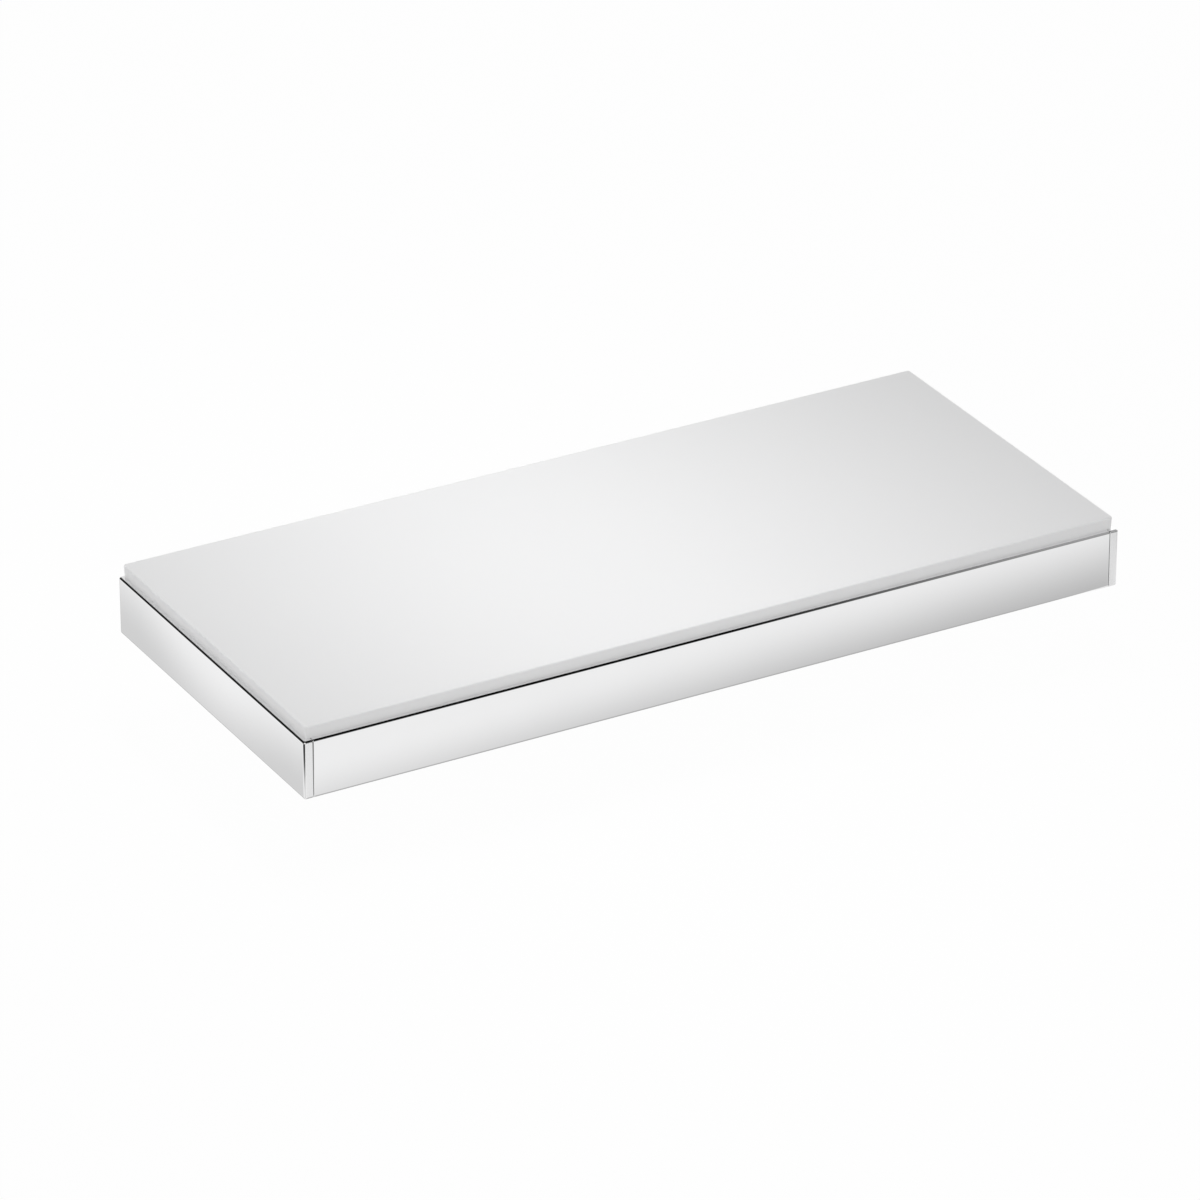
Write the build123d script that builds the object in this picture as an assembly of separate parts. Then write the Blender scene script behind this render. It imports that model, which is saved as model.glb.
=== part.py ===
from build123d import *
import math
import os

# Small wall shelf: a white lift-out panel in a bright metal frame on two hidden wall brackets.
# Millimetres. X runs along the wall, the wall is the plane Y = 0, the front faces -Y, Z is up.
# The origin lies on the wall, midway along the shelf, at the height of the wall screws.

# Overall sizes of the frame
SHELF_WIDTH = 300.0
SHELF_DEPTH = 130.0
FRAME_HEIGHT = 20.5

# End plates and front rail
END_PLATE = 3.2
FRONT_RAIL_DEPTH = 10.0
RAIL_WALL = 1.8
EDGE_RADIUS = 0.8
SEAM_RADIUS = 0.2
SEAM_GAP = 0.15

# Rear rail, a channel open to the wall
REAR_RAIL_DEPTH = 14.0
REAR_RAIL_SOLE = 3.5
WALL_GAP = 0.3

# Spigots of the end plates, which plug into the rails
SPIGOT_LENGTH = 14.0
SPIGOT_FIT = 0.1
SPIGOT_LEAD = 0.8

# Countersunk screws that lock the spigots from below
RAIL_SCREW = 3.0
RAIL_SCREW_HEAD = 5.6
RAIL_SCREW_LENGTH = 8.0
RAIL_SCREW_SINK = 0.1
RAIL_SCREW_KEY = 2.0
RAIL_SCREW_KEY_DEPTH = 1.0
HEAD_FIT = 0.1
THREAD_FIT = 0.05
DRILL_SPARE = 0.6

# Wall brackets inside the rear rail
BRACKET_END_GAP = 11.8
BRACKET_WIDTH = 52.0
BRACKET_FIT = 0.3
BRACKET_NOSE_GAP = 0.6
BRACKET_BACK = 3.5
BRACKET_LIP = 2.4
BRACKET_SOLE = 3.6
BRACKET_RADIUS = 1.0
WALL_HOLE = 4.8
WALL_HOLE_PITCH = 30.0

# Cone-point screws that clamp the rear rail on the brackets
CLAMP_SCREW = 4.0
CLAMP_SINK = 0.3
CLAMP_KEY = 2.0
CLAMP_KEY_DEPTH = 2.2
SEAT_FIT = 0.1

# White panel: visible lip, locating rim and ribs
PANEL_INSET = 1.4
PANEL_WALL_GAP = 0.5
PANEL_GAP = 0.02
PANEL_EDGE = 4.3
PANEL_DRAFT = 4.0
PANEL_CORNER = 1.0
PANEL_SOFT_EDGE = 0.5
PANEL_SKIN = 3.0
RIM_DROP = 6.0
RIM_WALL = 2.2
RIM_FIT = 0.8
RIM_CORNER = 3.0
RIB_WALL = 1.6
RIB_SET_BACK = 1.0
RIB_PITCH = 28.0

# Pads under the panel's lip
PAD_DIAMETER = 6.0
PAD_SUNK = 0.7
PAD_FIT = 0.1
PAD_END_MARGIN = 28.0

# Heights, counted from the wall screws
BRACKET_HEIGHT = FRAME_HEIGHT - RAIL_WALL - REAR_RAIL_SOLE - BRACKET_FIT
POCKET_HEIGHT = BRACKET_HEIGHT - BRACKET_LIP - BRACKET_SOLE
BRACKET_BOTTOM = -POCKET_HEIGHT / 2 - BRACKET_SOLE
BRACKET_TOP = BRACKET_BOTTOM + BRACKET_HEIGHT
FRAME_BOTTOM = BRACKET_BOTTOM - BRACKET_FIT - REAR_RAIL_SOLE
FRAME_TOP = FRAME_BOTTOM + FRAME_HEIGHT
LIP_BOTTOM = FRAME_TOP + PANEL_GAP
PANEL_TOP = LIP_BOTTOM + PANEL_EDGE
RIM_BOTTOM = LIP_BOTTOM - RIM_DROP
SKIN_BOTTOM = PANEL_TOP - PANEL_SKIN

# Places along the depth, negative towards the front
FRAME_FRONT = -SHELF_DEPTH
FRONT_RAIL_BACK = FRAME_FRONT + FRONT_RAIL_DEPTH
REAR_RAIL_FRONT = -REAR_RAIL_DEPTH
CHANNEL_FRONT = REAR_RAIL_FRONT + RAIL_WALL
BRACKET_FRONT = CHANNEL_FRONT + BRACKET_NOSE_GAP
PANEL_FRONT = FRAME_FRONT + PANEL_INSET
PANEL_BACK = -PANEL_WALL_GAP
RIM_FRONT = FRONT_RAIL_BACK + RIM_FIT
RIM_BACK = REAR_RAIL_FRONT - RIM_FIT

# Places along the width, the same on both sides of the middle
PLATE_OUTER = SHELF_WIDTH / 2
PLATE_INNER = PLATE_OUTER - END_PLATE
RAIL_END = PLATE_INNER - SEAM_GAP
RAIL_SCREW_X = PLATE_INNER - SPIGOT_LENGTH / 2
PANEL_SIDE = PLATE_OUTER - PANEL_INSET
RIM_SIDE = PLATE_INNER - RIM_FIT
BRACKET_X = PLATE_INNER - SPIGOT_LENGTH - BRACKET_END_GAP - BRACKET_WIDTH / 2
PAD_X = PANEL_SIDE - PAD_END_MARGIN

# Middles that holes and fasteners share
FRONT_SPIGOT_Y = (FRAME_FRONT + FRONT_RAIL_BACK) / 2
REAR_SPIGOT_Y = (CHANNEL_FRONT - WALL_GAP) / 2
CLAMP_Y = BRACKET_FRONT / 2
DRAFT_INSET = PANEL_EDGE * math.tan(math.radians(PANEL_DRAFT))
FRONT_PAD_Y = (PANEL_FRONT + DRAFT_INSET + RIM_FRONT) / 2
REAR_PAD_Y = (PANEL_BACK - DRAFT_INSET + RIM_BACK) / 2

SIDES = {"left": -1, "right": 1}


def block(x_limits, y_limits, z_limits):
    """A plain block between three pairs of limits."""
    limits = [sorted(pair) for pair in (x_limits, y_limits, z_limits)]
    sizes = [high - low for low, high in limits]
    middle = [(high + low) / 2 for low, high in limits]
    return Pos(*middle) * Box(*sizes)


def upright_cylinder(x, y, z_low, z_high, diameter):
    """A round bar along Z between two heights."""
    height = z_high - z_low
    return Pos(x, y, (z_low + z_high) / 2) * Cylinder(diameter / 2, height)


def upright_cone(x, y, z_low, z_high, low_diameter, high_diameter):
    """A cone along Z between two heights."""
    height = z_high - z_low
    return Pos(x, y, (z_low + z_high) / 2) * Cone(low_diameter / 2, high_diameter / 2, height)


def key_socket(x, y, z_low, depth, across_flats):
    """The hexagon socket of a screw, cut upwards from its lower end."""
    hexagon = RegularPolygon(across_flats / 2, 6, major_radius=False)
    return Pos(x, y, z_low) * extrude(hexagon, depth)


def rounded_slab(x_half, y_limits, z_low, z_high, corner):
    """A slab, centred on the width, with rounded upright corners."""
    low, high = y_limits
    outline = RectangleRounded(2 * x_half, high - low, corner)
    return Pos(0, (low + high) / 2, z_low) * extrude(outline, z_high - z_low)


# Rail screws: where each stands and how tall its parts are

RAIL_SCREW_PLACES = {
    f"{row}_{side}": (sign * RAIL_SCREW_X, y)
    for row, y in (("front", FRONT_SPIGOT_Y), ("rear", REAR_SPIGOT_Y))
    for side, sign in SIDES.items()
}
RAIL_SCREW_FOOT = FRAME_BOTTOM + RAIL_SCREW_SINK
RAIL_SCREW_NECK = RAIL_SCREW_FOOT + (RAIL_SCREW_HEAD - RAIL_SCREW) / 2
RAIL_SCREW_TIP = RAIL_SCREW_FOOT + RAIL_SCREW_LENGTH


def rail_screw(x, y):
    """A countersunk screw, head down and sunk just below the rail's underside."""
    head = upright_cone(x, y, RAIL_SCREW_FOOT, RAIL_SCREW_NECK, RAIL_SCREW_HEAD, RAIL_SCREW)
    shank = upright_cylinder(x, y, RAIL_SCREW_NECK, RAIL_SCREW_TIP, RAIL_SCREW)
    socket = key_socket(x, y, RAIL_SCREW_FOOT, RAIL_SCREW_KEY_DEPTH, RAIL_SCREW_KEY)
    return head + shank - socket


def rail_screw_hole(x, y):
    """The countersink and the hole for one rail screw, through a rail's lower wall."""
    mouth = RAIL_SCREW_HEAD + 2 * HEAD_FIT
    throat = RAIL_SCREW + 2 * HEAD_FIT
    sink = upright_cylinder(x, y, FRAME_BOTTOM, RAIL_SCREW_FOOT, mouth)
    cone = upright_cone(x, y, RAIL_SCREW_FOOT, RAIL_SCREW_NECK, mouth, throat)
    hole = upright_cylinder(x, y, RAIL_SCREW_FOOT, FRAME_BOTTOM + FRAME_HEIGHT / 2, throat)
    return sink + cone + hole


# Chrome frame


def spigot(sign, y_limits, z_limits):
    """A tongue of an end plate that fills the end of a rail, with a lead-in at its tip."""
    x_limits = (sign * PLATE_INNER, sign * (PLATE_INNER - SPIGOT_LENGTH))
    y_low, y_high = y_limits
    z_low, z_high = z_limits
    tongue = block(
        x_limits,
        (y_low + SPIGOT_FIT, y_high - SPIGOT_FIT),
        (z_low + SPIGOT_FIT, z_high - SPIGOT_FIT),
    )
    tip = tongue.faces().sort_by(Axis.X)[0 if sign > 0 else -1]
    return chamfer(tip.edges(), SPIGOT_LEAD)


def end_plate(sign):
    """One cast end plate: smooth outside, two tapped spigots inside."""
    plate = block(
        (sign * PLATE_INNER, sign * PLATE_OUTER), (FRAME_FRONT, 0), (FRAME_BOTTOM, FRAME_TOP)
    )
    outer_face = plate.faces().sort_by(Axis.X)[-1 if sign > 0 else 0]
    corner_edges = plate.edges().filter_by(Axis.X)
    plate = fillet(outer_face.edges() + corner_edges, EDGE_RADIUS)
    inner_face = plate.faces().sort_by(Axis.X)[0 if sign > 0 else -1]
    plate = fillet(inner_face.edges(), SEAM_RADIUS)
    plate += spigot(
        sign,
        (FRAME_FRONT + RAIL_WALL, FRONT_RAIL_BACK - RAIL_WALL),
        (FRAME_BOTTOM + RAIL_WALL, FRAME_TOP - RAIL_WALL),
    )
    plate += spigot(
        sign,
        (CHANNEL_FRONT, -WALL_GAP),
        (FRAME_BOTTOM + REAR_RAIL_SOLE, FRAME_TOP - RAIL_WALL),
    )
    for y in (FRONT_SPIGOT_Y, REAR_SPIGOT_Y):
        x = sign * RAIL_SCREW_X
        bore = RAIL_SCREW + 2 * THREAD_FIT
        plate -= upright_cylinder(x, y, FRAME_BOTTOM, RAIL_SCREW_TIP + DRILL_SPARE, bore)
    return plate


def rail_bar(y_limits):
    """A solid bar between the end plates, its long edges rounded and its ends eased."""
    bar = block((-RAIL_END, RAIL_END), y_limits, (FRAME_BOTTOM, FRAME_TOP))
    bar = fillet(bar.edges().filter_by(Axis.X), EDGE_RADIUS)
    ends = bar.faces().sort_by(Axis.X)
    return fillet(ends[0].edges() + ends[-1].edges(), SEAM_RADIUS)


def front_rail():
    """Hollow front rail with a countersink under each end."""
    rail = rail_bar((FRAME_FRONT, FRONT_RAIL_BACK))
    rail -= block(
        (-RAIL_END, RAIL_END),
        (FRAME_FRONT + RAIL_WALL, FRONT_RAIL_BACK - RAIL_WALL),
        (FRAME_BOTTOM + RAIL_WALL, FRAME_TOP - RAIL_WALL),
    )
    for sign in SIDES.values():
        rail -= rail_screw_hole(sign * RAIL_SCREW_X, FRONT_SPIGOT_Y)
    return rail


def rear_rail():
    """Channel open to the wall, with a thick sole that is tapped for the clamp screws."""
    rail = rail_bar((REAR_RAIL_FRONT, -WALL_GAP))
    rail -= block(
        (-RAIL_END, RAIL_END),
        (CHANNEL_FRONT, 0),
        (FRAME_BOTTOM + REAR_RAIL_SOLE, FRAME_TOP - RAIL_WALL),
    )
    for sign in SIDES.values():
        rail -= rail_screw_hole(sign * RAIL_SCREW_X, REAR_SPIGOT_Y)
        tapped = CLAMP_SCREW + 2 * THREAD_FIT
        rail -= upright_cylinder(sign * BRACKET_X, CLAMP_Y, FRAME_BOTTOM, BRACKET_BOTTOM, tapped)
    return rail


# Wall brackets and the screws that clamp the rear rail on them


def wall_bracket(sign):
    """A cast U with its back on the wall, two screw holes and a cone seat below."""
    x = sign * BRACKET_X
    x_limits = (x - BRACKET_WIDTH / 2, x + BRACKET_WIDTH / 2)
    bracket = block(x_limits, (BRACKET_FRONT, 0), (BRACKET_BOTTOM, BRACKET_TOP))
    nose = bracket.faces().sort_by(Axis.Y)[0]
    bracket = fillet(nose.edges(), BRACKET_RADIUS)
    bracket -= block(
        x_limits,
        (BRACKET_FRONT, -BRACKET_BACK),
        (BRACKET_BOTTOM + BRACKET_SOLE, BRACKET_TOP - BRACKET_LIP),
    )
    for side in (-1, 1):
        hole = Rot(90, 0, 0) * Cylinder(WALL_HOLE / 2, 2 * BRACKET_BACK)
        bracket -= Pos(x + side * WALL_HOLE_PITCH / 2, 0, 0) * hole
    seat = CLAMP_SCREW + 2 * SEAT_FIT
    seat_top = BRACKET_BOTTOM + seat / 2
    return bracket - upright_cone(x, CLAMP_Y, BRACKET_BOTTOM, seat_top, seat, 0)


def clamp_screw(sign):
    """A grub screw from below, its cone point in the bracket's seat."""
    x = sign * BRACKET_X
    foot = FRAME_BOTTOM + CLAMP_SINK
    body = upright_cylinder(x, CLAMP_Y, foot, BRACKET_BOTTOM, CLAMP_SCREW)
    point_top = BRACKET_BOTTOM + CLAMP_SCREW / 2
    point = upright_cone(x, CLAMP_Y, BRACKET_BOTTOM, point_top, CLAMP_SCREW, 0)
    return body + point - key_socket(x, CLAMP_Y, foot, CLAMP_KEY_DEPTH, CLAMP_KEY)


# White panel and its pads

PAD_PLACES = {
    f"{row}_{place}": (x, y)
    for row, y in (("front", FRONT_PAD_Y), ("rear", REAR_PAD_Y))
    for place, x in (("left", -PAD_X), ("centre", 0), ("right", PAD_X))
}


def pad(x, y):
    """A round silicone pad in a recess of the panel's lip, standing on a rail."""
    return upright_cylinder(x, y, FRAME_TOP, LIP_BOTTOM + PAD_SUNK, PAD_DIAMETER)


def panel_lip():
    """The visible slab, narrower below than above, with a soft top edge."""
    depth = PANEL_BACK - PANEL_FRONT
    outline = RectangleRounded(2 * PANEL_SIDE, depth, PANEL_CORNER)
    slab = extrude(outline, -PANEL_EDGE, taper=PANEL_DRAFT)
    slab = Pos(0, (PANEL_FRONT + PANEL_BACK) / 2, PANEL_TOP) * slab
    top = slab.faces().sort_by(Axis.Z)[-1]
    return fillet(top.edges(), PANEL_SOFT_EDGE)


def rib_places(low, high):
    """Middles of the ribs that divide a span into equal cells no wider than the pitch."""
    cells = math.ceil((high - low) / RIB_PITCH)
    return [low + (high - low) * number / cells for number in range(1, cells)]


def shelf_panel():
    """Moulded panel: lip, locating rim, ribs under the skin and recesses for the pads."""
    inner_side = RIM_SIDE - RIM_WALL
    inner_y = (RIM_FRONT + RIM_WALL, RIM_BACK - RIM_WALL)
    rib_limits = (RIM_BOTTOM + RIB_SET_BACK, SKIN_BOTTOM)
    panel = panel_lip()
    panel += rounded_slab(RIM_SIDE, (RIM_FRONT, RIM_BACK), RIM_BOTTOM, LIP_BOTTOM, RIM_CORNER)
    hollow = rounded_slab(inner_side, inner_y, RIM_BOTTOM, SKIN_BOTTOM, RIM_CORNER - RIM_WALL)
    for x in rib_places(-inner_side, inner_side):
        hollow -= block((x - RIB_WALL / 2, x + RIB_WALL / 2), inner_y, rib_limits)
    for y in rib_places(*inner_y):
        hollow -= block((-inner_side, inner_side), (y - RIB_WALL / 2, y + RIB_WALL / 2), rib_limits)
    panel -= hollow
    for x, y in PAD_PLACES.values():
        recess = PAD_DIAMETER + 2 * PAD_FIT
        panel -= upright_cylinder(x, y, LIP_BOTTOM, LIP_BOTTOM + PAD_SUNK, recess)
    return panel


# All pieces by name

pieces = {
    "shelf_panel": shelf_panel(),
    "front_rail": front_rail(),
    "rear_rail": rear_rail(),
}
for side, sign in SIDES.items():
    pieces[f"{side}_end_plate"] = end_plate(sign)
    pieces[f"{side}_wall_bracket"] = wall_bracket(sign)
    pieces[f"{side}_clamp_screw"] = clamp_screw(sign)
for place, (x, y) in RAIL_SCREW_PLACES.items():
    pieces[f"{place}_rail_screw"] = rail_screw(x, y)
for place, (x, y) in PAD_PLACES.items():
    pieces[f"{place}_pad"] = pad(x, y)

os.makedirs("parts", exist_ok=True)
for name, piece in pieces.items():
    export_step(piece, f"parts/{name}.step")
    print(name, round(piece.volume, 1), "cubic millimetres")
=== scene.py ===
# %% [markdown]
# # A wall shelf in chrome and white
#
# The real shelf is a white moulded panel that lies loose in a bright frame: a front rail, two end plates
# and a rear channel rail that hides the wall brackets. Its solids come in as a fixed frame, in metres, with
# the origin on the wall. They could be modelled again by hand, but a rail or a plate whose shape is already
# right gains nothing from that. So this lesson gives the solids their finishes, models the soft pads
# anew, and then builds the studio around them.

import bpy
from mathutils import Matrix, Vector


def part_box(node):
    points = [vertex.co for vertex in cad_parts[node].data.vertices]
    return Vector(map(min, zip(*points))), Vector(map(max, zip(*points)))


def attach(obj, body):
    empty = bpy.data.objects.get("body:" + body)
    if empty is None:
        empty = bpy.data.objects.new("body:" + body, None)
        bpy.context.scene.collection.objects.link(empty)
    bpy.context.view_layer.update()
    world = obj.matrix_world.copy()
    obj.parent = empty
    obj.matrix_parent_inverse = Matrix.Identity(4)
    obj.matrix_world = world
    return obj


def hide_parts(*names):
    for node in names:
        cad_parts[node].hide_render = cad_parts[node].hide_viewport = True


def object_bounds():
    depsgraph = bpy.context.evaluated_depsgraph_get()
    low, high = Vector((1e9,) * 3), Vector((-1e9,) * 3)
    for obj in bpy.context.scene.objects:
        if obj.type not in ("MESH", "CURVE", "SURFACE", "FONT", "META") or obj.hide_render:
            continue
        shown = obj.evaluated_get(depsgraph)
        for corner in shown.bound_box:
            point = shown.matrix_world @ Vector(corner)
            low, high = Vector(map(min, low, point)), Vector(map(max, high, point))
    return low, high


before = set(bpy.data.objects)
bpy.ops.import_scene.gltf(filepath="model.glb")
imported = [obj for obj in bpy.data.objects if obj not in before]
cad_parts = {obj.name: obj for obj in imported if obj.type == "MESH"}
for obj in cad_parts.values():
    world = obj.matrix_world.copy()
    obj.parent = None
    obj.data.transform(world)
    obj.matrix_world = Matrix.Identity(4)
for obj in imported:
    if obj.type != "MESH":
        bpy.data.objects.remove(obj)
cad_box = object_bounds()
print("solids loaded:", len(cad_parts))
print("box in metres:", [tuple(round(x, 5) for x in corner) for corner in cad_box])

# %% [markdown]
# ## Sums with shader sockets
#
# A finish is a small network of nodes: noise for mottling, a few sums to bring the noise into range, and one
# shader. Each node could be placed and linked by hand, but then a sum takes ten lines and nobody can read
# it. A small class that wraps a socket lets Python's own operators add the Math nodes, and one method adds
# every other kind of node.

# %% A socket that Python can calculate with
import bpy


class Socket:
    """One output of a node. Each operator adds a Math node and gives its output."""

    def __init__(self, nodes, output):
        self.nodes = nodes
        self.output = output

    def calculate(self, operation, *terms):
        return self.nodes.add("ShaderNodeMath", {"operation": operation}, dict(enumerate(terms)))

    def __add__(self, other):
        return self.calculate("ADD", self, other)

    def __sub__(self, other):
        return self.calculate("SUBTRACT", self, other)

    def __rsub__(self, other):
        return self.calculate("SUBTRACT", other, self)

    def __mul__(self, other):
        return self.calculate("MULTIPLY", self, other)

    def __lt__(self, other):
        return self.calculate("LESS_THAN", self, other)

    def __abs__(self):
        return self.calculate("ABSOLUTE", self)

    __radd__ = __add__
    __rmul__ = __mul__


class Nodes:
    """The emptied node tree of a material or of the world."""

    def __init__(self, owner):
        owner.use_nodes = True
        self.tree = owner.node_tree
        self.tree.nodes.clear()

    def add(self, kind, settings=None, sockets=None, output=0):
        """Add a node, set it up, then give its sockets values or links. One output comes back."""
        node = self.tree.nodes.new(kind)
        for name, value in (settings or {}).items():
            setattr(node, name, value)
        for key, value in (sockets or {}).items():
            if isinstance(value, Socket):
                self.tree.links.new(value.output, node.inputs[key])
            else:
                node.inputs[key].default_value = value
        return Socket(self, node.outputs[output]) if node.outputs else None


print("shader sums ready")

# %% Helpers that every finish shares
SOFT_DETAIL = 2
GRAIN_DETAIL = 3
CLOUD_DETAIL = 4


def new_finish(name):
    """A material, its empty node tree, and the place on the piece as a vector."""
    material = bpy.data.materials.new(name)
    nodes = Nodes(material)
    return material, nodes, nodes.add("ShaderNodeTexCoord", output="Object")


def noise(nodes, place, grain, detail=SOFT_DETAIL, stretch=(1, 1, 1)):
    """Noise from 0 to 1 whose lumps are about one grain wide, in metres, longer where stretch is small."""
    placed = nodes.add("ShaderNodeMapping", {}, {"Vector": place, "Scale": stretch})
    sockets = {"Vector": placed, "Scale": 1 / grain, "Detail": detail}
    return nodes.add("ShaderNodeTexNoise", {}, sockets, "Fac")


def along(nodes, vector, axis):
    """How far a vector goes along an axis."""
    return nodes.add("ShaderNodeVectorMath", {"operation": "DOT_PRODUCT"}, {0: vector, 1: axis}, "Value")


def ramp(nodes, value, start, end):
    """A smooth step from 0 to 1 between two values."""
    sockets = {"Value": value, "From Min": start, "From Max": end}
    return nodes.add("ShaderNodeMapRange", {"interpolation_type": "SMOOTHSTEP"}, sockets)


def blend_colours(nodes, share, low, high):
    """A colour between two, by a share from 0 to 1."""
    sockets = {"Factor": share, "A": (*low, 1), "B": (*high, 1)}
    return nodes.add("ShaderNodeMix", {"data_type": "RGBA"}, sockets, "Result")


def bump(nodes, height, depth):
    """A normal that tilts with a height from 0 to 1, as deep as given in metres."""
    return nodes.add("ShaderNodeBump", {}, {"Height": height, "Distance": depth})


def close(nodes, sockets):
    """End the network with one Principled shader."""
    shader = nodes.add("ShaderNodeBsdfPrincipled", {}, sockets)
    nodes.add("ShaderNodeOutputMaterial", {}, {"Surface": shader})


print("finish helpers ready")

# %% [markdown]
# ## The white panel
#
# The panel is a white plastic moulding with a satin top. A flat white would do from far off, but close up a
# moulding has a fine spark-eroded grain, and its sheen drifts a little where the plastic cooled unevenly. So
# a broad noise drives colour and sheen, and a very fine one the grain's bump.

# %% Satin white
PANEL_PALE = (0.80, 0.80, 0.802)
PANEL_DEEP = (0.785, 0.786, 0.79)
PANEL_ROUGH = 0.34
PANEL_ROUGH_DRIFT = 0.06
PANEL_ROUGH_GRAIN = 0.04
PANEL_DRIFT = 0.06
PANEL_GRAIN = 0.0004
PANEL_GRAIN_DEPTH = 0.000004


def satin_white():
    material, nodes, place = new_finish("satin_white")
    drift = noise(nodes, place, PANEL_DRIFT)
    grain = noise(nodes, place, PANEL_GRAIN, GRAIN_DETAIL)
    close(nodes, {
        "Base Color": blend_colours(nodes, drift, PANEL_DEEP, PANEL_PALE),
        "Roughness": PANEL_ROUGH + drift * PANEL_ROUGH_DRIFT + grain * PANEL_ROUGH_GRAIN,
        "Normal": bump(nodes, grain, PANEL_GRAIN_DEPTH),
    })
    return material


def dress(material, *node_names):
    """Put one finish on some of the frame's solids."""
    for node_name in node_names:
        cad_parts[node_name].material_slots[0].material = material
    print(material.name, "on", ", ".join(node_names))


dress(satin_white(), "shelf_panel")

# %% [markdown]
# ## Chrome on the rail and the end plates
#
# Bright chrome is a mirror, so nearly all that it shows is its surroundings. A perfect mirror looks like a
# drawing, though: real plating keeps a trace of the polishing wheel along the rail and a faint haze. The
# haze varies the roughness, and lines stretched along X and Y tilt the normal by a hair. The narrow front
# ends of the end plates are cut and ground, not buffed, so the plating on them is softer. A second material
# could do that, but one finish that grows rougher outside the rail's ends needs no split in the mesh.

# %% Polished chrome
CHROME_PALE = (0.93, 0.93, 0.933)
CHROME_DEEP = (0.90, 0.90, 0.905)
CHROME_ROUGH = 0.035
CHROME_ROUGH_HAZE = 0.03
CHROME_HAZE = 0.02
WHEEL_LINES = 0.0005
WHEEL_STRETCH = (0.01, 0.01, 1)
WHEEL_DEPTH = 0.0000006
GROUND_ROUGH = 0.2
GROUND_EDGE = (0.00002, 0.0001)

rail_low, rail_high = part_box("front_rail")


def ground_ends(nodes, place):
    """1 on the front ends of the end plates, 0 on the rail and all other faces."""
    behind_front = along(nodes, place, (0, 1, 0)) - rail_low.y
    past_rail = abs(along(nodes, place, (1, 0, 0))) - rail_high.x
    return ramp(nodes, past_rail, *GROUND_EDGE) * (1 - ramp(nodes, behind_front, *GROUND_EDGE))


def polished_chrome():
    material, nodes, place = new_finish("polished_chrome")
    haze = noise(nodes, place, CHROME_HAZE, CLOUD_DETAIL)
    wheel = noise(nodes, place, WHEEL_LINES, stretch=WHEEL_STRETCH)
    ground = ground_ends(nodes, place)
    close(nodes, {
        "Base Color": blend_colours(nodes, haze, CHROME_DEEP, CHROME_PALE),
        "Metallic": 1.0,
        "Roughness": CHROME_ROUGH + haze * CHROME_ROUGH_HAZE + ground * GROUND_ROUGH,
        "Normal": bump(nodes, wheel, WHEEL_DEPTH),
    })
    return material


dress(polished_chrome(), "front_rail", "left_end_plate", "right_end_plate")

# %% [markdown]
# ## The hidden metals
#
# The rear rail is an aluminium extrusion with a satin anodised skin, so its grain runs along its length. The
# wall brackets are die castings, left as they come from the mould: grey, grainy and dull. The screws are
# plain steel. One function could hold all three, but each has its own marks of making, so each gets its own.

# %% Anodised aluminium
ALUMINIUM_PALE = (0.70, 0.71, 0.73)
ALUMINIUM_DEEP = (0.62, 0.63, 0.65)
ALUMINIUM_ROUGH = 0.3
ALUMINIUM_ROUGH_LINES = 0.12
DRAWN_LINES = 0.0006
DRAWN_STRETCH = (0.008, 1, 1)
DRAWN_DEPTH = 0.000004


def anodised_aluminium():
    material, nodes, place = new_finish("anodised_aluminium")
    lines = noise(nodes, place, DRAWN_LINES, GRAIN_DETAIL, DRAWN_STRETCH)
    close(nodes, {
        "Base Color": blend_colours(nodes, lines, ALUMINIUM_DEEP, ALUMINIUM_PALE),
        "Metallic": 1.0,
        "Roughness": ALUMINIUM_ROUGH + lines * ALUMINIUM_ROUGH_LINES,
        "Normal": bump(nodes, lines, DRAWN_DEPTH),
    })
    return material


dress(anodised_aluminium(), "rear_rail")

# %% Die-cast zinc
ZINC_PALE = (0.56, 0.57, 0.59)
ZINC_DEEP = (0.42, 0.43, 0.45)
ZINC_ROUGH = 0.42
ZINC_ROUGH_FLOW = 0.1
ZINC_ROUGH_GRAIN = 0.08
ZINC_FLOW = 0.006
ZINC_GRAIN = 0.0005
ZINC_GRAIN_DEPTH = 0.00002


def cast_zinc():
    material, nodes, place = new_finish("cast_zinc")
    flow = noise(nodes, place, ZINC_FLOW, CLOUD_DETAIL)
    grain = noise(nodes, place, ZINC_GRAIN, GRAIN_DETAIL)
    close(nodes, {
        "Base Color": blend_colours(nodes, flow, ZINC_DEEP, ZINC_PALE),
        "Metallic": 1.0,
        "Roughness": ZINC_ROUGH + flow * ZINC_ROUGH_FLOW + grain * ZINC_ROUGH_GRAIN,
        "Normal": bump(nodes, grain, ZINC_GRAIN_DEPTH),
    })
    return material


dress(cast_zinc(), "left_wall_bracket", "right_wall_bracket")

# %% Screw steel
STEEL_PALE = (0.66, 0.66, 0.68)
STEEL_DEEP = (0.55, 0.55, 0.57)
STEEL_ROUGH = 0.22
STEEL_ROUGH_SCUFF = 0.14
STEEL_SCUFF = 0.0008
STEEL_SCUFF_DEPTH = 0.000006
SCREW_NODES = [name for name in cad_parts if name.endswith("_screw")]


def screw_steel():
    material, nodes, place = new_finish("screw_steel")
    scuff = noise(nodes, place, STEEL_SCUFF, CLOUD_DETAIL)
    close(nodes, {
        "Base Color": blend_colours(nodes, scuff, STEEL_DEEP, STEEL_PALE),
        "Metallic": 1.0,
        "Roughness": STEEL_ROUGH + scuff * STEEL_ROUGH_SCUFF,
        "Normal": bump(nodes, scuff, STEEL_SCUFF_DEPTH),
    })
    return material


dress(screw_steel(), *SCREW_NODES)

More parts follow.
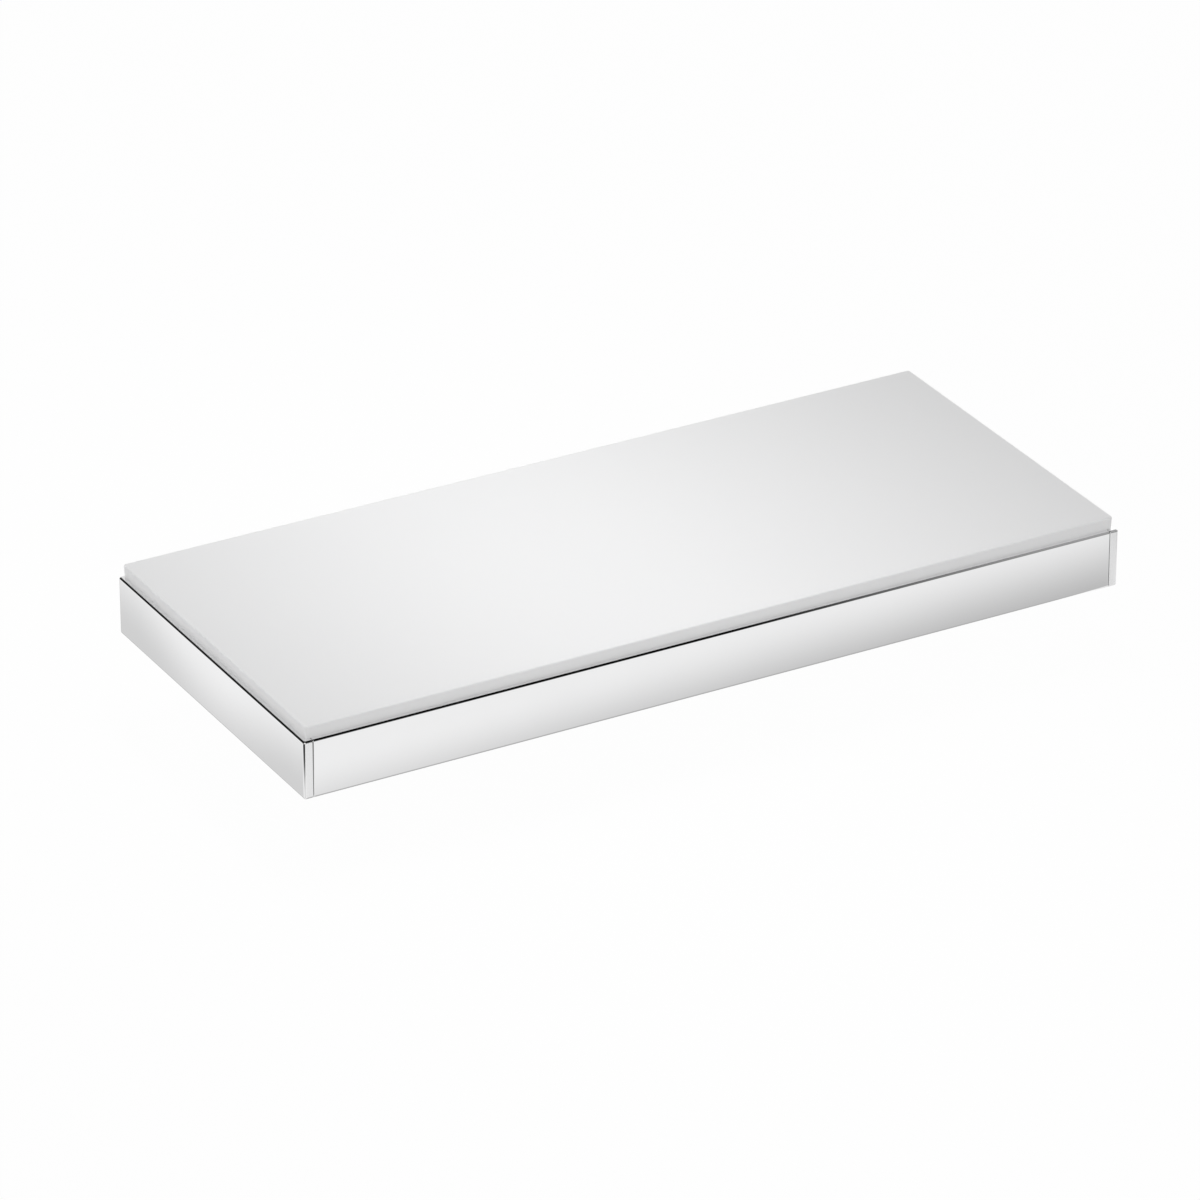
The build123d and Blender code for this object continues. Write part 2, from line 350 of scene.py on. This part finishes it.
# %% [markdown]
# ## Silicone pads
#
# Six clear-white silicone pads lie in shallow seats under the panel's lip and keep it from rattling. On the
# real shelf they are punched from sheet with a soft, slightly domed face. A squashed sphere has no seat and
# a bare cylinder has hard rims, so each pad starts as a cylinder, gets an inset crown and a rounded rim, and
# takes its size and place from the solid that it stands for.

# %% Soft silicone
SILICONE_PALE = (0.80, 0.81, 0.82)
SILICONE_DEEP = (0.74, 0.75, 0.77)
SILICONE_ROUGH = 0.42
SILICONE_ROUGH_DUST = 0.16
SILICONE_CLOUD = 0.002
SILICONE_DUST = 0.0003
SILICONE_DUST_DEPTH = 0.000008
SILICONE_GLOW = 0.25
SILICONE_REACH = (0.002, 0.002, 0.002)


def soft_silicone():
    material, nodes, place = new_finish("soft_silicone")
    cloud = noise(nodes, place, SILICONE_CLOUD)
    dust = noise(nodes, place, SILICONE_DUST, GRAIN_DETAIL)
    close(nodes, {
        "Base Color": blend_colours(nodes, cloud, SILICONE_DEEP, SILICONE_PALE),
        "Roughness": SILICONE_ROUGH + dust * SILICONE_ROUGH_DUST,
        "Normal": bump(nodes, dust, SILICONE_DUST_DEPTH),
        "Subsurface Weight": SILICONE_GLOW,
        "Subsurface Radius": SILICONE_REACH,
    })
    return material


silicone = soft_silicone()
print("made", silicone.name)

# %% Model one pad
import bmesh

PAD_SIDES = 64
CROWN_INSET = 0.3
CROWN_DROP = 0.00012
FACING_DOWN = -0.9
RIM_ROUND = 0.0002
RIM_SEGMENTS = 4
RIM_ANGLE = 0.35
SMOOTH_ANGLE = 0.6


def select_faces(wanted):
    """In edit mode, select just the faces that a test accepts."""
    bpy.ops.mesh.select_all(action="DESELECT")
    mesh = bmesh.from_edit_mesh(bpy.context.object.data)
    for face in mesh.faces:
        face.select_set(wanted(face))
    bmesh.update_edit_mesh(bpy.context.object.data)


def model_pad(low, high):
    """A punched pad with a crowned lower face, between two corners."""
    middle = (low + high) / 2
    radius = (high.x - low.x) / 2
    thickness = high.z - low.z
    bpy.ops.object.select_all(action="DESELECT")
    bpy.ops.mesh.primitive_cylinder_add(
        vertices=PAD_SIDES, radius=radius, depth=thickness - CROWN_DROP,
        location=(middle.x, middle.y, middle.z + CROWN_DROP / 2),
    )
    bpy.ops.object.mode_set(mode="EDIT")
    select_faces(lambda face: face.normal.z < FACING_DOWN)
    bpy.ops.mesh.inset(thickness=radius * CROWN_INSET)
    bpy.ops.transform.translate(value=(0, 0, -CROWN_DROP))
    bpy.ops.object.mode_set(mode="OBJECT")
    pad = bpy.context.object
    bevel = pad.modifiers.new("rim", "BEVEL")
    bevel.width = RIM_ROUND
    bevel.segments = RIM_SEGMENTS
    bevel.angle_limit = RIM_ANGLE
    bpy.ops.object.modifier_apply(modifier=bevel.name)
    bpy.ops.object.transform_apply(location=True, rotation=True, scale=True)
    bpy.ops.object.shade_smooth_by_angle(angle=SMOOTH_ANGLE)
    return pad


pattern_low, pattern_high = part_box("front_left_pad")
pattern_pad = model_pad(pattern_low, pattern_high)
print("pad faces:", len(pattern_pad.data.polygons))

# %% Copy the pad to the six seats
PAD_NODES = [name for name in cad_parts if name.endswith("_pad")]


def seat_copy(pattern, shift, name):
    """A copy with its own mesh, moved in the mesh so that the object stays at the origin."""
    copy = pattern.copy()
    copy.data = pattern.data.copy()
    for vertex in copy.data.vertices:
        vertex.co += shift
    copy.name = name
    bpy.context.collection.objects.link(copy)
    return copy


for node_name in PAD_NODES:
    pad = seat_copy(pattern_pad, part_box(node_name)[0] - pattern_low, node_name.replace("pad", "bumper"))
    pad.data.materials.append(silicone)
    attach(pad, "panel")
    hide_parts(node_name)
bpy.data.objects.remove(pattern_pad)
print("pads seated:", len(PAD_NODES))

# %% [markdown]
# ## The studio
#
# The shelf is shown cut out on white, so nothing of a room may show, and yet chrome needs a room to mirror.
# A white box all round would make the chrome vanish. So the floor and the sky are white to the camera, while
# the chrome sees a floor painted with shade and light, and a painted sky that is bright before and behind,
# greyer aloft and dark at both sides. The dark sides draw the fine lines on the rounded edges.

# %% Shapes that the floor and the sky are shaded with
MATT_BOUNCE = 0.5


def distance_outside(nodes, place, low, high):
    """How far a place on the floor lies outside an upright box, seen from above."""
    middle = (low.x / 2 + high.x / 2, low.y / 2 + high.y / 2, 0)
    half = (high.x / 2 - low.x / 2, high.y / 2 - low.y / 2, 0)
    offset = nodes.add("ShaderNodeVectorMath", {"operation": "SUBTRACT"}, {0: place, 1: middle})
    folded = nodes.add("ShaderNodeVectorMath", {"operation": "ABSOLUTE"}, {0: offset})
    beyond = nodes.add("ShaderNodeVectorMath", {"operation": "SUBTRACT"}, {0: folded, 1: half})
    outside = nodes.add("ShaderNodeVectorMath", {"operation": "MAXIMUM"}, {0: beyond, 1: (0, 0, 0)})
    return nodes.add("ShaderNodeVectorMath", {"operation": "LENGTH"}, {0: outside}, "Value")


def mirror_ray(nodes):
    """1 for light that reaches the camera by mirrors alone, 0 for all other light."""
    matt_bounces = nodes.add("ShaderNodeLightPath", output="Diffuse Depth")
    return (matt_bounces < MATT_BOUNCE) * nodes.add("ShaderNodeLightPath", output="Is Glossy Ray")


print("studio shapes ready")

# %% [markdown]
# ## The floor
#
# The soft gradients on the rail and the left plate mirror the floor, whose tone for mirrors alone is
# painted. It could carry a drawn picture, but then every change means a new drawing. Smooth steps in
# metres from the shelf are easy to move: painted shade that pales away from the front, painted shade that
# pales and darkens again at both sides, a slanting painted pale strip off each ground end, and a painted
# dark patch off the front left corner, which draws the line there.

# %% Painted shade before the shelf
FRONT_DEEP = 0.47
FRONT_PALE = 0.927
FRONT_START = 0.0255
FRONT_REACH = 0.053
FRONT_SPREAD = 0.71


def front_shade(nodes, rightwards, ahead):
    """The floor's painted shade before the shelf, which pales away from it and towards the left."""
    # painted shadow: the floor is darkest close to the shelf's front, where its shade would fall
    away = (ahead - FRONT_START) * (1 / FRONT_REACH) - rightwards * (1 / FRONT_SPREAD)
    return FRONT_DEEP + ramp(nodes, away, 0, 1) * (FRONT_PALE - FRONT_DEEP)


print("front paper from", FRONT_DEEP, "to", FRONT_PALE)

# %% Painted pale strips off the ground ends
STRIP_NEAR = 1.0
STRIP_FAR = 0.66
STRIP_FAR_LEAN = 1.07
STRIP_AHEAD = (0.05, 0.09)
STRIP_SLANT = 0.565
STRIP_FAN = 0.515
STRIP_EDGE = (0.0, 0.003)
STRIP_FADE = (0.015, 0.06)
STRIP_STOP = (0.1, 0.13)


def strip_shade(nodes, rightwards, ahead):
    """The tone of both painted pale strips, palest close to the shelf and towards the left."""
    far = STRIP_FAR - rightwards * STRIP_FAR_LEAN
    return STRIP_NEAR + ramp(nodes, ahead, *STRIP_AHEAD) * (far - STRIP_NEAR)


def strip_share(nodes, rightwards, ahead):
    """1 on two strips that start beyond the rail's ends and slant to the right, 0 outside them."""
    straightened = rightwards - ahead * (STRIP_SLANT + rightwards * STRIP_FAN)
    past_rail = abs(straightened) - rail_high.x
    band = ramp(nodes, past_rail, *STRIP_EDGE) - ramp(nodes, past_rail, *STRIP_FADE)
    return band * (1 - ramp(nodes, ahead, *STRIP_STOP))


print("strips start", round(rail_high.x, 4), "from the middle")

# %% Painted shade beside the shelf
SIDE_DEEP = 0.68
SIDE_PALE = 0.945
SIDE_START = 0.0275
SIDE_REACH = 0.024
SIDE_FADE = (0.06, 0.18)
SIDE_FALL = 0.5
POOL_MIDDLE = 0.16
POOL_REACH = 0.034
POOL_LIFT = 0.4


def side_shade(nodes, outwards, across):
    """Painted shade beside the shelf, which pales, then darkens, with a painted light pool on the left."""
    # painted pool of light: raises the mirrored tone of the floor on the left
    pool = (1 - ramp(nodes, abs(across - POOL_MIDDLE), 0, POOL_REACH)) * POOL_LIFT
    away = (outwards - SIDE_START) * (1 / SIDE_REACH) + pool
    near = SIDE_DEEP + ramp(nodes, away, 0, 1) * (SIDE_PALE - SIDE_DEEP)
    return near * (1 - ramp(nodes, outwards, *SIDE_FADE) * SIDE_FALL)


print("side paper from", SIDE_DEEP, "to", SIDE_PALE)

# %% All that chrome sees of the floor
from mathutils import Vector

SIDE_EDGE = (0.005, 0.02)
SIDE_END = (0.0, 0.045)
SWEEP_BACK = Vector((0, 0.5, 0))
SWEEP_END = (0.1, 0.4)
DARK_PATCH_SIDE = (-0.87, -0.49, 0)
DARK_PATCH_EDGE = (0.23, 0.28)
DARK_PATCH_START = (0.055, 0.081)
DARK_PATCH_STOP = (0.102, 0.116)


def mirrored_floor(nodes):
    """The painted tones joined to one sweep, with the painted dark patch on it and a dark far end."""
    place = nodes.add("ShaderNodeTexCoord", output="Object")
    flat = nodes.add("ShaderNodeVectorMath", {"operation": "MULTIPLY"}, {0: place, 1: (1, 1, 0)})
    rightwards = along(nodes, flat, (1, 0, 0))
    ahead = cad_box[0].y - along(nodes, flat, (0, 1, 0))
    outwards = abs(rightwards) - cad_box[1].x
    across = along(nodes, flat, DARK_PATCH_SIDE)
    front = front_shade(nodes, rightwards, ahead)
    strips = strip_shade(nodes, rightwards, ahead)
    # painted reflection: the pale strips that the ground ends mirror
    front = front + (strips - front) * strip_share(nodes, rightwards, ahead)
    beside = ramp(nodes, outwards, *SIDE_EDGE) * (1 - ramp(nodes, ahead, *SIDE_END))
    sweep = front + (side_shade(nodes, outwards, across) - front) * beside
    apart = distance_outside(nodes, flat, cad_box[0], cad_box[1] + SWEEP_BACK)
    # painted dark reflection: a dark patch in the floor's mirrored tone off the front left corner
    ring = ramp(nodes, apart, *DARK_PATCH_START) - ramp(nodes, apart, *DARK_PATCH_STOP)
    painted_dark_patch = ramp(nodes, across, *DARK_PATCH_EDGE) * ring
    return sweep * (1 - ramp(nodes, apart, *SWEEP_END)) * (1 - painted_dark_patch)


print("sweep ends", SWEEP_END[1], "from the shelf")

# %% Floor
FLOOR_DROP = 0.03
FLOOR_SIZE = 3.0
FLOOR_WHITE = (0.75, 0.75, 0.75)
SHADOW_KEPT = 0.02

floor_height = cad_box[0].z - FLOOR_DROP


def studio_floor():
    """A pale floor, white to the camera but for a trace of shadow, and clear from below."""
    material = bpy.data.materials.new("studio_floor")
    nodes = Nodes(material)
    camera_ray = nodes.add("ShaderNodeLightPath", output="Is Camera Ray")
    mirrored = mirror_ray(nodes)
    # painted reflection: for mirrors alone the floor glows with its painted shade and light
    tone = camera_ray + mirrored * mirrored_floor(nodes)
    glow = nodes.add("ShaderNodeEmission", {}, {"Color": tone, "Strength": 1.0})
    paint = nodes.add("ShaderNodeBsdfDiffuse", {}, {"Color": (*FLOOR_WHITE, 1)})
    share = camera_ray * (1 - SHADOW_KEPT) + mirrored
    top = nodes.add("ShaderNodeMixShader", {}, {0: share, 1: paint, 2: glow})
    below = nodes.add("ShaderNodeNewGeometry", output="Backfacing")
    clear = nodes.add("ShaderNodeBsdfTransparent")
    both = nodes.add("ShaderNodeMixShader", {}, {0: below, 1: top, 2: clear})
    nodes.add("ShaderNodeOutputMaterial", {}, {"Surface": both})
    return material


bpy.ops.object.select_all(action="DESELECT")
bpy.ops.mesh.primitive_plane_add(size=FLOOR_SIZE, location=(0, 0, floor_height))
floor = bpy.context.object
floor.name = "studio_floor"
bpy.ops.object.transform_apply(location=True)
floor.data.materials.append(studio_floor())
print("floor at", round(floor_height, 4))

# %% [markdown]
# ## The sky and the lamps
#
# The white panel is lit for itself. Light from above alone would leave its sides grey, so the sky gives matt
# surfaces most of its light from low down, and one softbox overhead draws the brighter band on the top. A
# glowing plane on the right paints a reflection: it adds light only to what chrome sees, and so lightens
# the line along the rail's top there.

# %% Sky
SKY_LOW = 1.65
SKY_HIGH = 0.315
SKY_LEAN = (0.15, -0.05, 0)
SKY_DARK = 0.01
SKY_BRIGHT = 1.0
SKY_AXIS = (0.49, 0.87, 0)
SKY_EDGE = (0.55, 0.8)
SKY_CLIMB = (0.1, 0.75)
SKY_FALL = 0.35


def studio_sky():
    """White to the camera. Matt surfaces get most light from low down. Mirrors see it dark at both sides."""
    world = bpy.data.worlds.new("studio_sky")
    bpy.context.scene.world = world
    nodes = Nodes(world)
    direction = nodes.add("ShaderNodeTexCoord", output="Generated")
    camera_ray = nodes.add("ShaderNodeLightPath", output="Is Camera Ray")
    mirrored = mirror_ray(nodes)
    aloft = ramp(nodes, along(nodes, direction, (0, 0, 1)), *SKY_CLIMB)
    light = (SKY_LOW + aloft * (SKY_HIGH - SKY_LOW)) * (1 - along(nodes, direction, SKY_LEAN))
    either_end = abs(along(nodes, direction, SKY_AXIS))
    ends = SKY_DARK + ramp(nodes, either_end, *SKY_EDGE) * (SKY_BRIGHT - SKY_DARK)
    painted = ends * (1 - aloft * SKY_FALL)
    tone = camera_ray + mirrored * painted + (1 - camera_ray - mirrored) * light
    shader = nodes.add("ShaderNodeBackground", {}, {"Color": tone, "Strength": 1.0})
    nodes.add("ShaderNodeOutputWorld", {}, {"Surface": shader})
    return world


print("sky:", studio_sky().name)

# %% Painted reflection glow
from math import pi

GLOW_PLANE_PLACE = (0.25, -0.13, 0)
GLOW_PLANE_SIZE = 1.2
GLOW_PLANE_STRENGTH = 0.38
GLOW_PLANE_FADE = (0.15, 0.5)
GLOW_PLANE_FOOT = (0.0, 0.02)


def painted_reflection_glow():
    """Painted reflection: adds light to what chrome sees through it, most at the middle, none below the
    shelf.
    """
    material = bpy.data.materials.new("painted_reflection_glow")
    nodes = Nodes(material)
    place = nodes.add("ShaderNodeTexCoord", output="Object")
    sockets = {0: place, 1: GLOW_PLANE_PLACE}
    apart = nodes.add("ShaderNodeVectorMath", {"operation": "DISTANCE"}, sockets, "Value")
    above = ramp(nodes, along(nodes, place, (0, 0, 1)), *GLOW_PLANE_FOOT)
    # painted reflection: a glow that only mirrors see, though the plane is no lamp
    tone = (1 - ramp(nodes, apart, *GLOW_PLANE_FADE)) * above * mirror_ray(nodes) * GLOW_PLANE_STRENGTH
    glow = nodes.add("ShaderNodeEmission", {}, {"Color": tone, "Strength": 1.0})
    clear = nodes.add("ShaderNodeBsdfTransparent")
    both = nodes.add("ShaderNodeAddShader", {}, {0: glow, 1: clear})
    nodes.add("ShaderNodeOutputMaterial", {}, {"Surface": both})
    return material


bpy.ops.object.select_all(action="DESELECT")
bpy.ops.mesh.primitive_plane_add(size=GLOW_PLANE_SIZE, location=GLOW_PLANE_PLACE, rotation=(0, pi / 2, 0))
glow_plane = bpy.context.object
glow_plane.name = "studio_painted_reflection"
bpy.ops.object.transform_apply(location=True, rotation=True)
glow_plane.data.materials.append(painted_reflection_glow())
glow_plane.visible_camera = False
glow_plane.visible_diffuse = False
glow_plane.visible_shadow = False
print("reflector at", GLOW_PLANE_PLACE)

# %% Softbox
from math import radians

BANK_PLACE = (-0.025, -0.065, 0.71)
BANK_SIZE = (0.096, 0.505)
BANK_WATTS = 0.264
BANK_SPREAD = radians(44)

bpy.ops.object.light_add(type="AREA", location=BANK_PLACE)
bank = bpy.context.object
bank.name = "bank_softbox"
bank.data.shape = "RECTANGLE"
bank.data.size, bank.data.size_y = BANK_SIZE
bank.data.energy = BANK_WATTS
bank.data.spread = BANK_SPREAD
bank.visible_camera = False
bank.visible_glossy = False
print("softbox at", BANK_PLACE)

# %% [markdown]
# ## The camera
#
# The shelf was taken from the front left and from above with a long lens, so its edges stay nearly parallel.
# A short lens near by would splay them, so the camera stands well back.

# %% Camera
from math import cos, sin

CAMERA_TURN = radians(-29.35)
CAMERA_RISE = radians(27.22)
CAMERA_DISTANCE = 2.5
CAMERA_LENS = 230.3
CAMERA_SENSOR = 36
AIM_ACROSS = -0.00701
AIM_UP = -0.00623

aim = Vector((0, cad_box[0].y / 2, (rail_low.z + rail_high.z) / 2))
backwards = Vector((
    sin(CAMERA_TURN) * cos(CAMERA_RISE),
    -cos(CAMERA_TURN) * cos(CAMERA_RISE),
    sin(CAMERA_RISE),
))
sideways = Vector((0, 0, 1)).cross(backwards).normalized()
upwards = backwards.cross(sideways)
camera_place = aim + backwards * CAMERA_DISTANCE + sideways * AIM_ACROSS + upwards * AIM_UP
bpy.ops.object.camera_add(location=camera_place)
camera = bpy.context.object
camera.rotation_euler = (-backwards).to_track_quat("-Z", "Y").to_euler()
camera.data.lens = CAMERA_LENS
camera.data.sensor_width = CAMERA_SENSOR
bpy.context.scene.camera = camera
bpy.context.scene.view_settings.view_transform = "Standard"
print("camera at", tuple(round(x, 3) for x in camera.location))
